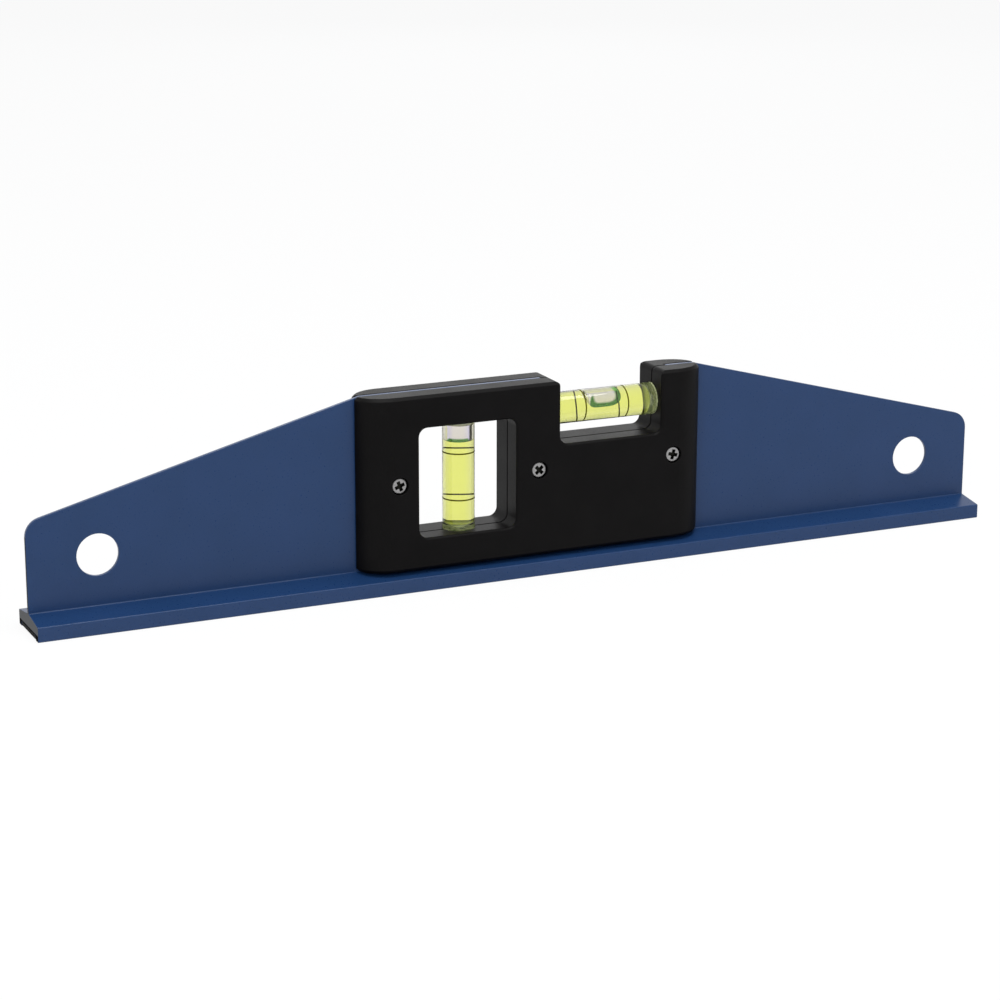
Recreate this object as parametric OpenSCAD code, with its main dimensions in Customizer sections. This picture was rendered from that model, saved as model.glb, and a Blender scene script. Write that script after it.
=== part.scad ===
// Magnetic spirit level: an extruded aluminium blade with a magnet strip in its sole,
// and a moulded housing in two halves that clamps a level vial and a plumb vial on the web.
// X runs along the level, -Y is the front with the screw heads, Z is up from the sole.

/* [Blade] */
// Length of the level
level_l = 300; // [240:1:600]
// Width of the sole
sole_w = 19; // [18:0.5:30]
// Height of the sole at its long edges
sole_edge_h = 4.25; // [3.8:0.05:7]
// How much the sole's top rises from its edge to the web
sole_rise = 1.3; // [0.2:0.1:3]
// Rounding of the sole's long edges
sole_edge_r = 0.35; // [0.1:0.05:1]
// Fillet where the web grows out of the sole
root_r = 0.3; // [0.2:0.1:2]
// Thickness of the web
web_t = 1.2; // [0.8:0.1:2.4]
// Height of the web's flat top above the surface it stands on
web_h = 56.75; // [54:0.05:70]
// Height at which the sloping top meets the square end
web_end_h = 31.1; // [28:0.1:44]
// Rounding of the web's upper end corners
web_corner_r = 5.3; // [1:0.1:9]

/* [Hang holes] */
// Diameter of the hole at each end
hang_d = 12; // [6:0.5:14]
// Distance of each hole's centre from the end
hang_inset = 20; // [12:0.5:34]
// Height of each hole's centre
hang_z = 20; // [14:0.5:21]

/* [Magnet] */
// Width of the channel under the sole
channel_w = 14.2; // [8:0.1:15]
// Depth of the channel
channel_d = 1.3; // [1.1:0.05:2.4]
// Thickness of the flexible magnet strip
strip_t = 0.9; // [0.5:0.05:0.95]
// Thickness of the strip's adhesive tape
tape_t = 0.12; // [0.08:0.01:0.14]
// Room between the strip and each side of the channel
strip_side_gap = 0.15; // [0.05:0.05:1]

/* [Housing] */
// Length of the housing along the web
housing_l = 109.2; // [106:0.2:130]
// Depth of the housing, front face to rear face
housing_d = 15; // [13.6:0.1:18]
// Length of the curved run at each end of the housing
housing_end = 9.6; // [6:0.1:10.5]
// Room between the sole's root and the housing
housing_lift = 0.25; // [0.1:0.05:2]
// How far the housing stands above the web
housing_proud = 0.05; // [0:0.05:2]
// Thickness of the housing's faces
face_t = 2; // [1.4:0.1:2.6]
// Thickness of the housing's outer walls
wall_t = 1.8; // [1.2:0.1:2.4]
// Chamfer round the housing's faces
edge_c = 0.9; // [0.3:0.1:1.2]
// Chamfer round the window and the notch
mouth_c = 0.6; // [0.2:0.1:0.9]
// Depth and width of the shadow gap where the halves meet
seam_gap = 0.3; // [0.1:0.05:0.6]
// Thickness of the stiffening ribs
rib_t = 1.2; // [0.8:0.1:2]

/* [Window] */
// Width of the plumb vial's window
window_w = 30.2; // [24:0.2:31]
// How deep the plumb vial's ends sit above and below the window, on average
window_seat = 1.9; // [1.6:0.1:3]
// Place of the window's centre along the level
window_x = -22.3; // [-24:0.1:-21.5]
// Height of the window's centre
window_z = 31.2; // [30:0.1:32]
// Rounding of the window's corners
window_r = 2.6; // [1:0.1:5]
// Thickness of the rim round the window and under the notch
rim_t = 1.7; // [1:0.1:2]

/* [Notch] */
// How deep each end of the level vial sits in its pocket
notch_seat = 1.7; // [1.2:0.1:3]
// Place of the notch's centre along the level
notch_x = 23.05; // [22.5:0.05:24]
// Height of the notch's floor
notch_floor = 38.2; // [36.5:0.1:40.5]
// Rounding of the notch's lower corners
notch_r = 2.5; // [1:0.1:4]
// Rounding of the housing's top where the notch opens
lip_r = 1.7; // [0.5:0.1:2.5]
// Extra width of the solid block in the right-hand post
post_extra = 1.6; // [0.2:0.1:2]

/* [Vials] */
// Outer diameter of both vials
vial_d = 9.4; // [8.6:0.1:10]
// Length of both vials
vial_l = 36; // [35.2:0.1:37]
// Radius of the barrel bore at the reading lines
barrel_r = 3.35; // [3.3:0.05:3.6]
// How much the barrel bore narrows to its ends
barrel_drop = 0.2; // [0.05:0.05:0.25]
// Distance from a vial's closed end to the end of its bore's side
closed_end = 3.7; // [3.2:0.1:5.5]
// Depth of the drill's cone at the end of the bore
drill_cone = 1.5; // [0.2:0.1:1.8]
// Radius of the plug
plug_r = 3.75; // [3.5:0.05:4]
// Thickness of the plug
plug_t = 2.6; // [1.5:0.1:3]
// How far the plug's outer face lies inside the vial's end
plug_inset = 0.4; // [0.1:0.05:0.8]
// Distance between the two reading lines, middle to middle
line_pitch = 13.72; // [12:0.02:16]
// Width of a reading line
line_w = 0.42; // [0.2:0.02:1]
// Depth of the fine groove that holds a line's paint
line_t = 0.15; // [0.08:0.01:0.3]
// Height of the level vial's axis
level_vial_z = 47.2; // [46.4:0.1:48]
// How far the plumb vial's middle lies below the window's
plumb_vial_drop = 0.25; // [-0.3:0.05:0.6]
// Chamfer of a vial's ends
vial_c = 0.5; // [0.1:0.1:1]
// Solid wall behind each vial's end
end_wall = 1.4; // [0.8:0.1:1.8]
// Solid wall round the plumb vial's ends
pocket_wall = 1.5; // [1:0.1:2]

/* [Bubbles] */
// Length of the level vial's bubble at rest
bubble_l = 10.6; // [8:0.1:12]
// Height of that bubble
bubble_h = 3.2; // [2.5:0.1:4]
// Height of the plumb vial's bubble at rest
plumb_bubble_h = 5; // [3:0.1:8]
// Dishing of that bubble's lower face
meniscus = 0.8; // [0.3:0.1:1.5]
// Room between a bubble and the narrowest bore
bubble_gap = 0.17; // [0.1:0.01:0.4]

/* [Screws] */
// Distance between neighbouring screws
screw_pitch = 43.5; // [43:0.1:44.5]
// Place of the middle screw along the level
screw_x = 0.1; // [-0.6:0.1:0.2]
// Diameter of the screws' heads
head_d = 4.6; // [4:0.1:5]
// Height of the screws' heads
head_h = 1.4; // [1:0.1:1.8]
// Depth of the heads below the front face
head_recess = 0.6; // [0.2:0.1:1.4]
// Diameter of the screws' shanks
screw_d = 2.4; // [2:0.1:2.6]
// Length of the screws under the head
screw_l = 10; // [8:0.1:10.2]
// Diameter of the bosses
boss_d = 6.4; // [6:0.1:6.8]
// Width of a cross recess's arms
cross_w = 0.9; // [0.4:0.02:1]
// Length of a cross recess from arm tip to arm tip
cross_l = 3.2; // [2:0.1:3.4]
// Depth of a cross recess
cross_depth = 0.9; // [0.4:0.1:0.9]
// Turn of each screw's cross, left to right
cross_turn = [22, 45, -14];

/* [Fits] */
// Room between parts that are pressed together
fit = 0.04; // [0.02:0.01:0.1]
// Room between a screw and the holes it passes freely
screw_clear = 0.25; // [0.1:0.05:0.4]
// Room between the web's cut-outs and the rims inside them
cut_gap = 0.2; // [0.1:0.05:0.4]
// Overlap of cutting tools past a face
over = 1; // [0.5:0.5:2]

/* [Hidden] */
arc_n = 8;
end_n = 14;
barrel_n = 10;
$fn = 48;

half_l = level_l / 2;
sole_root_h = sole_edge_h + sole_rise;
web_flat_l = housing_l - 3.35;
house_z0 = sole_root_h + housing_lift;
house_z1 = web_h + housing_proud;
house_h = house_z1 - house_z0;
web_face = web_t / 2;
half_y = web_face + fit;
face_y = housing_d / 2;
vial_r = vial_d / 2;
pocket_r = vial_r + fit;
root_w = half_y + 0.6 * root_r;
window_h = vial_l - 2 * window_seat;
notch_w = vial_l - 2 * notch_seat;
notch_side = notch_seat + end_wall;
plumb_vial_z = window_z - plumb_vial_drop;
bore_to_plug = vial_l / 2 - plug_inset - plug_t;
bore_to_end = vial_l / 2 - closed_end;
bore_end_r = barrel_r - barrel_drop;
bubble_r = bore_end_r - bubble_gap;
screw_z = window_z;
dome_w = 0.28 * head_d / 2;
dome_h = 0.35 * head_h;
head_y = -face_y + head_recess;
seat_y = head_y + head_h;
screw_xs = [for (i = [-1 : 1]) screw_x + i * screw_pitch];
rib_xs = [notch_x - notch_w / 4, notch_x + notch_w / 4];
rib_z = house_z0 + (notch_floor - house_z0) / 2;

function unit(v) = v / norm(v);

// One corner b of an outline that comes from a and goes on to c, rounded to radius r.
function corner(a, b, c, r) = r <= 0 ? [b] :
    let (u = unit(a - b), v = unit(c - b), half = acos(u * v) / 2,
         start = b + u * r / tan(half), mid = b + unit(u + v) * r / sin(half),
         a0 = atan2(start[1] - mid[1], start[0] - mid[0]),
         turn = (u[0] * v[1] - u[1] * v[0] < 0 ? 1 : -1) * (180 - 2 * half))
    [for (i = [0 : arc_n]) mid + r * [cos(a0 + turn * i / arc_n), sin(a0 + turn * i / arc_n)]];

// An outline of points [x, y, r], each corner rounded to its own r.
function rounded(pts) = let (n = len(pts), p = [for (q = pts) [q[0], q[1]]])
    [for (i = [0 : n - 1]) each corner(p[(i + n - 1) % n], p[i], p[(i + 1) % n], pts[i][2])];

// A rectangle w by h round the centre c with corner radius r.
function rect(c, w, h, r) = rounded([for (s = [[-1, -1], [1, -1], [1, 1], [-1, 1]])
    [c[0] + s[0] * w / 2, c[1] + s[1] * h / 2, r]]);

// The housing seen from above, drawn in by i: a bar with elliptical ends.
function plan(i) = let (cx = housing_l / 2 - housing_end, e = housing_end - i, b = housing_d / 2 - i)
    [for (side = [0, 180]) for (k = [0 : end_n]) let (a = side - 90 + 180 * k / end_n)
        [(side == 0 ? cx : -cx) + e * cos(a), b * sin(a)]];

// The inside of a vial from z0 to z1, half profile for turning, drawn in by i.
function barrel(i) = let (z0 = -bore_to_end + i, z1 = bore_to_plug - i)
    concat([[0, z0 - drill_cone]], [for (k = [0 : barrel_n]) let (z = z0 + (z1 - z0) * k / barrel_n)
        [barrel_r - i - barrel_drop * pow(z / (z < 0 ? z0 : z1), 2), z]], [[0, z1]]);

// Extrudes an X-Z outline along Y from y0 to y1.
module along_y(y0, y1) { translate([0, y1, 0]) rotate([90, 0, 0]) linear_extrude(y1 - y0) children(); }

// A round bar along Y.
module bar_y(x, z, r, y0, y1) { translate([x, y1, z]) rotate([90, 0, 0]) cylinder(r = r, h = y1 - y0); }

// Puts a vial that is modelled upright round its lines' middle into its place.
module at_level_vial() { translate([notch_x, 0, level_vial_z]) rotate([0, -90, 0]) children(); }
module at_plumb_vial() { translate([window_x, 0, plumb_vial_z]) children(); }

// Block of the housing that surrounds the window and the plumb vial's ends, as an X-Z outline.
module window_block(grow) {
    polygon(rect([window_x, window_z], window_w + 2 * (rim_t + grow), window_h + 2 * (rim_t + grow),
        window_r + rim_t));
    translate([window_x - vial_r - pocket_wall - grow, plumb_vial_z - vial_l / 2 - end_wall - grow])
        square([vial_d + 2 * (pocket_wall + grow), vial_l + 2 * (end_wall + grow)]);
}

// Block that surrounds the notch and the level vial's ends.
module notch_block(grow) {
    translate([notch_x - notch_w / 2 - notch_side - grow, notch_floor - rim_t - grow])
        square([notch_w + 2 * (notch_side + grow) + post_extra,
            house_z1 - notch_floor + rim_t + grow + over]);
}

// Clear outline of the window and of the notch, grown by g.
module window_outline(g) {
    polygon(rect([window_x, window_z], window_w + 2 * g, window_h + 2 * g, window_r + g));
}
module notch_outline(g) {
    x0 = notch_x - notch_w / 2 - g;
    x1 = notch_x + notch_w / 2 + g;
    top = house_z1 + over;
    polygon(rounded([[x0, notch_floor - g, notch_r + g], [x1, notch_floor - g, notch_r + g],
        [x1, top, 0], [x0, top, 0]]));
}

// Aluminium extrusion: roof-shaped sole with a channel below and a thin web above, cut to length,
// with the web's top sloped and cut out for the vials.
module blade() color("#2f4170") difference() {
    union() {
        rotate([90, 0, 90]) translate([0, 0, -half_l]) linear_extrude(level_l)
            polygon(rounded([[-sole_w / 2, 0, sole_edge_r], [sole_w / 2, 0, sole_edge_r],
                [sole_w / 2, sole_edge_h, sole_edge_r], [web_face, sole_root_h, root_r],
                [web_face, sole_root_h + 2 * root_r, 0], [-web_face, sole_root_h + 2 * root_r, 0],
                [-web_face, sole_root_h, root_r], [-sole_w / 2, sole_edge_h, sole_edge_r]]));
        along_y(-web_face, web_face) polygon(rounded([
            [-half_l, sole_edge_h / 2, 0], [half_l, sole_edge_h / 2, 0],
            [half_l, web_end_h, web_corner_r], [web_flat_l / 2, web_h, 0],
            [-web_flat_l / 2, web_h, 0], [-half_l, web_end_h, web_corner_r]]));
    }
    translate([-half_l - over, -channel_w / 2, -over]) cube([level_l + 2 * over, channel_w, channel_d + over]);
    for (s = [-1, 1]) bar_y(s * (half_l - hang_inset), hang_z, hang_d / 2, -sole_w, sole_w);
    for (x = screw_xs) bar_y(x, screw_z, screw_d / 2 + screw_clear, -sole_w, sole_w);
    along_y(-sole_w, sole_w) window_block(cut_gap);
    along_y(-sole_w, sole_w) notch_block(cut_gap);
}

// Flexible magnet strip and the double-sided tape that holds it in the channel.
module strip_bar(z0, t) {
    w = channel_w - 2 * strip_side_gap;
    translate([-half_l, -w / 2, z0]) cube([level_l, w, t]);
}
module magnet_strip() color("#1c1c1e") strip_bar(channel_d - tape_t - strip_t - fit, strip_t);
module adhesive_tape() color("#d8d4c4") strip_bar(channel_d - tape_t - fit, tape_t);

// Outer form of the closed housing, chamfered along its top and bottom edges.
module housing_form() hull() {
    translate([0, 0, house_z0]) linear_extrude(house_h) polygon(plan(edge_c));
    translate([0, 0, house_z0 + edge_c]) linear_extrude(house_h - 2 * edge_c) polygon(plan(0));
}

// The space on one side of the web: side is -1 for the front and 1 for the rear.
module side_space(side) {
    translate([-housing_l, side > 0 ? half_y : -half_y - housing_d, 0])
        cube([2 * housing_l, housing_d, 2 * house_z1]);
}

// Room inside a half, open towards the web.
module housing_hollow() {
    translate([0, 0, house_z0 + wall_t]) linear_extrude(house_h - 2 * wall_t)
        intersection() { polygon(plan(wall_t)); square([housing_l, housing_d - 2 * face_t], center = true); }
}

// Stiffening ribs that tie the bosses and rims to the outer walls, clear of the web.
module ribs(side) {
    y0 = side > 0 ? half_y + cut_gap : -face_y + face_t / 2;
    dy = face_y - face_t / 2 - half_y - cut_gap;
    for (x = screw_xs) translate([x - rib_t / 2, y0, house_z0 + wall_t / 2]) cube([rib_t, dy, house_h - wall_t]);
    for (x = rib_xs) translate([x - rib_t / 2, y0, house_z0 + wall_t / 2])
        cube([rib_t, dy, notch_floor - house_z0 - wall_t / 2]);
    translate([screw_x, y0, rib_z - rib_t / 2]) cube([housing_l / 2 - wall_t / 2 - screw_x, dy, rib_t]);
    translate([-housing_l / 2 + housing_end / 2, y0, screw_z - rib_t / 2])
        cube([window_x - window_w / 2 + housing_l / 2 - housing_end / 2, dy, rib_t]);
}

// Relief along the halves' lower inner edges, clear of the fillet where the web grows out of the sole.
module root_relief() {
    rotate([90, 0, 90]) translate([0, 0, -housing_l]) linear_extrude(2 * housing_l)
        polygon([[-root_w, house_z0], [-root_w, house_z0 - over], [root_w, house_z0 - over],
            [root_w, house_z0], [0, house_z0 + root_w]]);
}

// One half as moulded: a shell with ribs, bosses and the blocks round window and notch.
module half_shell(side) {
    difference() {
        intersection() { housing_form(); side_space(side); }
        housing_hollow();
    }
    intersection() {
        housing_form();
        side_space(side);
        union() {
            ribs(side);
            along_y(-face_y, face_y) window_block(0);
            along_y(-face_y, face_y) notch_block(0);
            for (x = screw_xs) bar_y(x, screw_z, boss_d / 2, -face_y + edge_c, face_y - edge_c);
        }
    }
}

// The flared mouth of one opening at a half's face.
module mouth(side) {
    hull() {
        along_y(side > 0 ? face_y : -face_y - over, side > 0 ? face_y + over : -face_y) children(1);
        along_y(side * (face_y - mouth_c) - 0.01, side * (face_y - mouth_c) + 0.01) children(0);
    }
}

// The rounding of the housing's top at one side of the notch: s is -1 for the left side.
module notch_lip(s) {
    edge = notch_x + s * notch_w / 2;
    difference() {
        translate([s > 0 ? edge - over : edge - lip_r, house_z1 - lip_r]) square([lip_r + over, lip_r + over]);
        translate([edge + s * lip_r, house_z1 - lip_r]) circle(r = lip_r);
    }
}

// Fine shadow gap in the rear half's top, behind the web and along the rims beside the notch.
module top_seam() {
    x0 = notch_x - notch_w / 2 - notch_side;
    x1 = notch_x + notch_w / 2 + notch_side + post_extra;
    for (run = [[-housing_l, x0], [x1, housing_l]]) translate([run[0], 0, house_z1 - seam_gap])
        cube([run[1] - run[0], half_y + seam_gap, over]);
    translate([x0 - over, -half_y, house_z1 - seam_gap]) cube([x1 - x0 + 2 * over, fit + seam_gap, over]);
}

// Everything that is open through a half: window, notch, the vials' pockets and the relief at
// the sole, with a chamfer at the face and a fine shadow gap at the seam.
module openings(side) {
    along_y(-housing_d, housing_d) window_outline(0);
    along_y(-housing_d, housing_d) notch_outline(0);
    for (s = [-1, 1]) along_y(-housing_d, housing_d) notch_lip(s);
    mouth(side) { window_outline(0); window_outline(mouth_c); }
    mouth(side) { notch_outline(0); notch_outline(mouth_c); }
    if (side < 0) along_y(-half_y - seam_gap, 0) { window_outline(seam_gap); notch_outline(seam_gap); }
    root_relief();
    pocket_l = vial_l + 4 * fit;
    at_level_vial() translate([0, 0, -pocket_l / 2]) cylinder(r = pocket_r, h = pocket_l);
    at_plumb_vial() translate([0, 0, -pocket_l / 2]) cylinder(r = pocket_r, h = pocket_l);
}

// Front half, with the holes that the screws pass and the round seats for their heads.
module front_housing() color("#1b1a1b") difference() {
    half_shell(-1);
    openings(-1);
    for (x = screw_xs) {
        bar_y(x, screw_z, screw_d / 2 + screw_clear, -housing_d, housing_d);
        bar_y(x, screw_z, head_d / 2 + screw_clear, -housing_d, seat_y);
    }
}

// Rear half, with blind pilot holes and the rims that pass through the web to the front half.
module rear_housing() color("#1b1a1b") difference() {
    union() {
        half_shell(1);
        intersection() {
            housing_form();
            along_y(-web_face, half_y + fit) { window_block(0); notch_block(0); }
        }
    }
    openings(1);
    top_seam();
    for (x = screw_xs) bar_y(x, screw_z, screw_d / 2 + fit, -housing_d, seat_y + screw_l + fit);
}

// Self-tapping screw number i from the left, with a low domed head and a cross recess.
module housing_screw(i) color("#b9bcc0") translate([screw_xs[i], seat_y - fit, screw_z]) rotate([90, 0, 0]) {
    r = head_d / 2;
    difference() {
        rotate_extrude() polygon(concat([[0, 0], [0, head_h]],
            [for (a = [80 : -16 : 0]) [r - dome_w + dome_w * cos(a), head_h - dome_h + dome_h * sin(a)]],
            [[r, 0]]));
        rotate([0, 0, cross_turn[i]]) for (a = [0, 90]) rotate([0, 0, a])
            translate([-cross_l / 2, -cross_w / 2, head_h - cross_depth]) cube([cross_l, cross_w, head_h]);
    }
    translate([0, 0, -screw_l + screw_d]) cylinder(d = screw_d, h = screw_l - screw_d + fit);
    translate([0, 0, -screw_l]) cylinder(d1 = screw_d / 4, d2 = screw_d, h = screw_d);
}

// Vial: a clear acrylic rod with a barrel bore, closed at one end and plugged at the other.
// s is 1 for the reading line towards the plug and -1 for the one towards the closed end.
module line_ring(s, extra = 0) {
    translate([0, 0, s * line_pitch / 2 - line_w / 2 - extra]) difference() {
        cylinder(d = vial_d + 2 * extra, h = line_w + 2 * extra);
        translate([0, 0, -over]) cylinder(r = vial_r - line_t - extra, h = line_w + 2 * over + 2 * extra);
    }
}
module vial_tube() difference() {
    translate([0, 0, -vial_l / 2]) rotate_extrude() polygon([[0, 0], [vial_r - vial_c, 0], [vial_r, vial_c],
        [vial_r, vial_l - vial_c], [vial_r - vial_c, vial_l], [0, vial_l]]);
    rotate_extrude() polygon(barrel(0));
    translate([0, 0, bore_to_plug - fit]) cylinder(r = plug_r + fit, h = vial_l);
    for (s = [-1, 1]) line_ring(s, fit / 2);
}
module vial_plug() translate([0, 0, bore_to_plug]) cylinder(r = plug_r, h = plug_t);
module vial_filling() rotate_extrude() polygon(barrel(fit));

// Bubble under the crown of the level vial: flat to the bore above, rounded below.
module level_bubble(grow) {
    ball = (pow(bubble_l / 2, 2) + pow(bubble_h, 2)) / (2 * bubble_h);
    intersection() {
        at_level_vial() translate([0, 0, -bubble_l]) cylinder(r = bubble_r + grow, h = 2 * bubble_l);
        translate([notch_x, 0, level_vial_z + bubble_r - bubble_h + ball]) sphere(r = ball + grow, $fn = 64);
    }
}

// Bubble at the top of the upright vial, its lower face dished downwards.
module plumb_bubble(grow) {
    top = bore_to_plug - bubble_gap;
    ball = (pow(bubble_r, 2) + pow(meniscus, 2)) / (2 * meniscus);
    at_plumb_vial() intersection() {
        translate([0, 0, top - plumb_bubble_h - grow])
            cylinder(r = bubble_r + grow, h = plumb_bubble_h + 2 * grow);
        translate([0, 0, top - plumb_bubble_h + ball]) sphere(r = ball + grow, $fn = 64);
    }
}

module level_vial_tube() color("#dfe9d8", 0.5) at_level_vial() vial_tube();
module level_vial_plug() color("#e6ead8", 0.7) at_level_vial() vial_plug();
module level_vial_line(s) color("#33340c") at_level_vial() line_ring(s);
module level_vial_liquid() color("#dbe368", 0.8) difference() {
    at_level_vial() vial_filling();
    level_bubble(fit);
}
module level_vial_bubble() color("#e9e6e4", 0.6) level_bubble(0);

module plumb_vial_tube() color("#dfe9d8", 0.5) at_plumb_vial() vial_tube();
module plumb_vial_plug() color("#e6ead8", 0.7) at_plumb_vial() vial_plug();
module plumb_vial_line(s) color("#33340c") at_plumb_vial() line_ring(s);
module plumb_vial_liquid() color("#dbe368", 0.8) difference() {
    at_plumb_vial() vial_filling();
    plumb_bubble(fit);
}
module plumb_vial_bubble() color("#e9e6e4", 0.6) plumb_bubble(0);

blade();
magnet_strip();
adhesive_tape();
front_housing();
rear_housing();
housing_screw(0);  // left_screw
housing_screw(1);  // middle_screw
housing_screw(2);  // right_screw
level_vial_tube();
level_vial_plug();
level_vial_line(1);  // level_vial_left_line
level_vial_line(-1);  // level_vial_right_line
level_vial_liquid();
level_vial_bubble();
plumb_vial_tube();
plumb_vial_plug();
plumb_vial_line(1);  // plumb_vial_upper_line
plumb_vial_line(-1);  // plumb_vial_lower_line
plumb_vial_liquid();
plumb_vial_bubble();
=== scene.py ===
# Magnetic spirit level: the finish of every surface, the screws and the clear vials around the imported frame.
import math

import bmesh
import bpy
from mathutils import Matrix, Vector


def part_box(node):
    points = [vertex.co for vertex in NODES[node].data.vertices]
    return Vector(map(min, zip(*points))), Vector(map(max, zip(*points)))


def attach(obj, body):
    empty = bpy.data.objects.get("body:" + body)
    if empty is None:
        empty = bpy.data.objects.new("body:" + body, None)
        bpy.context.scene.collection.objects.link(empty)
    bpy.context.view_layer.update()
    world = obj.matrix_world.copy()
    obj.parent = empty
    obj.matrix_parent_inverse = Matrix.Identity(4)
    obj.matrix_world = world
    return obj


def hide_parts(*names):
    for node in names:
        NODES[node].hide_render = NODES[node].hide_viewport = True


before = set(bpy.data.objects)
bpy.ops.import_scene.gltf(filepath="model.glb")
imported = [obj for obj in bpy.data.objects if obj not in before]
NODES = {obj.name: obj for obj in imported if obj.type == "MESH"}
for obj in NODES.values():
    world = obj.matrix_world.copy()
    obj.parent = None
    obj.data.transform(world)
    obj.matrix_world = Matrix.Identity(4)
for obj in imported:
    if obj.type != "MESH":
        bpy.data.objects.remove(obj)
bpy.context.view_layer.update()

MM = 0.001
WHITE = (1.0, 1.0, 1.0)

# Camera, solved on the level's long edges and hang holes as the photograph shows them
CAMERA_AT = Vector((-0.336523, -0.716615, 0.242001))
CAMERA_YAW, CAMERA_PITCH, CAMERA_ROLL = -24.552, 15.635, -0.102
LENS, SENSOR = 101.565, 36.0
VIEW_RIGHT = (0.91, -0.41)      # x and y of the way to the right as the camera sees it

# Room, floor and lamps: each lamp has its place, size, power and colour
ROOM_LIGHT, ROOM_TINT = 0.42, (0.93, 0.96, 1.0)
FLOOR_GLOW, FLOOR_SIZE, FLOOR_DROP = 0.90, 12.0, 0.02 * MM
LAMPS = {
    "overhead": ((0.0, -0.25, 1.3), 1.1, 14.5, WHITE),
    "left front": ((-0.9, -1.0, 0.75), 0.8, 5.0, WHITE),
    "right front": ((0.9, -0.9, 0.6), 0.8, 2.4, WHITE),
    "behind": ((0.55, 1.2, 0.5), 0.7, 1.0, WHITE),
}
MIRRORED_LAMPS = ("overhead", "behind")

# Clear plastic, dyed liquid and air, each as the next one inside it sees it
ACRYLIC_IOR, LIQUID_IOR = 1.49, 1.36
DYE, THIN_DYE = (0.890, 0.905, 0.437), (0.86, 0.87, 0.60)

# A bubble's skin: how far it bends light (1 is not at all), how much it mirrors, and its dark green band of
# painted shade and reflection
AIR_BEND = 0.97
AIR_MIRROR, SHADE_BAND_MIRROR = 0.9, 2.2
SHADE_BAND_GREEN = (0.10, 0.27, 0.11)

# Rounded edges of the frame's own solids: an edge is sharp above one angle, and flat below the other
COAT_EDGE, MOULDED_EDGE, STRIP_EDGE, TAPE_EDGE = 0.12 * MM, 0.22 * MM, 0.15 * MM, 0.03 * MM
SHARP_ANGLE, FLAT_ANGLE = math.radians(24), math.radians(0.4)
SOLID_WELD = 0.001 * MM

# Sawn ends of the blade: their skin, and the heights where the painted black edge ends and the painted shade
# on the web starts
SAWN_SKIN = 0.02 * MM
BLACK_EDGE_FROM, BLACK_EDGE_TO, BLACK_EDGE_ROUGH = 1.9 * MM, 2.2 * MM, 0.4 * MM
WEB_SHADE_FROM, WEB_SHADE_TO = 5 * MM, 7 * MM

# Turned parts: edges sharper than the crease, in degrees, stay sharp
TURNING_RADIUS = 5 * MM
ROUND_SIDES, SCREW_SIDES = 96, 64
WELD = 0.0005 * MM
ROD_CREASE, LIQUID_CREASE, SCREW_CREASE = 30, 50, 35

# Vials: the bore narrows by its drop towards both ends, the film is the liquid between a bubble and the
# bore, and the brink is the narrow strip in which a finish changes
BORE_DROP, BORE_STEPS = 0.06 * MM, 28
DRILL_CONE, CONE_SAG = 1.5 * MM, 0.06
CONE_STEPS = (0.12, 0.35, 0.6, 0.8, 0.94)
FILM = 0.03 * MM
END_ROUND, LIQUID_ROUND = 0.45 * MM, 0.35 * MM
SAWN_END, BRINK = 2.0 * MM, 0.03 * MM
PLUG_GAP, PLUG_CHAMFER = 0.05 * MM, 0.3 * MM
LINE_PROUD, LINE_DEPTH = 0.015 * MM, 0.12 * MM

# Bubbles: where their hearts are, how square the level one's bowl is at each end, and their bands of painted
# shade
LEVEL_HEART_DOWN, PLUMB_HEART_UP = 0.45, 0.4 * MM
SQUARE_LEFT, SQUARE_RIGHT = 6.0, 2.8
PLUMB_DISH = 0.2 * MM
EDGE_BLEND, SHADE_BAND_WIDTH = 0.30 * MM, 1.8 * MM
LEVEL_BAND_LEAN, LEVEL_BAND_FADE = 0.8, (-0.1 * MM, 0.7 * MM)
PLUMB_BAND_FADE = (-3.3 * MM, -2.2 * MM)
BUBBLE_ROWS, BUBBLE_COLUMNS = 96, 128
BUBBLE_REACH, HALVINGS = 8 * MM, 30

# Screws: numbers with MM are sizes, and those without are shares of them, counts, or turns in degrees
SCREW_NODES = ("left_screw", "middle_screw", "right_screw")
HEAD_HEIGHT, HEAD_EDGE_WIDTH, HEAD_EDGE_HEIGHT = 1.4 * MM, 0.24, 0.30
CROSS_WIDTH, CROSS_LENGTH, CROSS_DEPTH = 1.15 * MM, 3.3 * MM, 0.9 * MM
CROSS_TURNS, CROSS_TAPER = (22, 45, -14), 0.16
# How deep and how near the axis the cross recess gets painted shade
RECESS_SHADE_BELOW, RECESS_SHADE_WITHIN = 0.4, 0.52
SHANK_D, SHANK_CORE, TIP_SHARE = 2.4 * MM, 0.78, 0.3
THREAD_PITCH, THREAD_TURNS, THREAD_STEPS = 0.9 * MM, 9.0, 32
THREAD_FOOT, THREAD_TIP_R, THREAD_R = 0.93, 0.45, 0.86
RIDGE_R, RIDGE_SIDES = 0.14, 4


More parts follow.
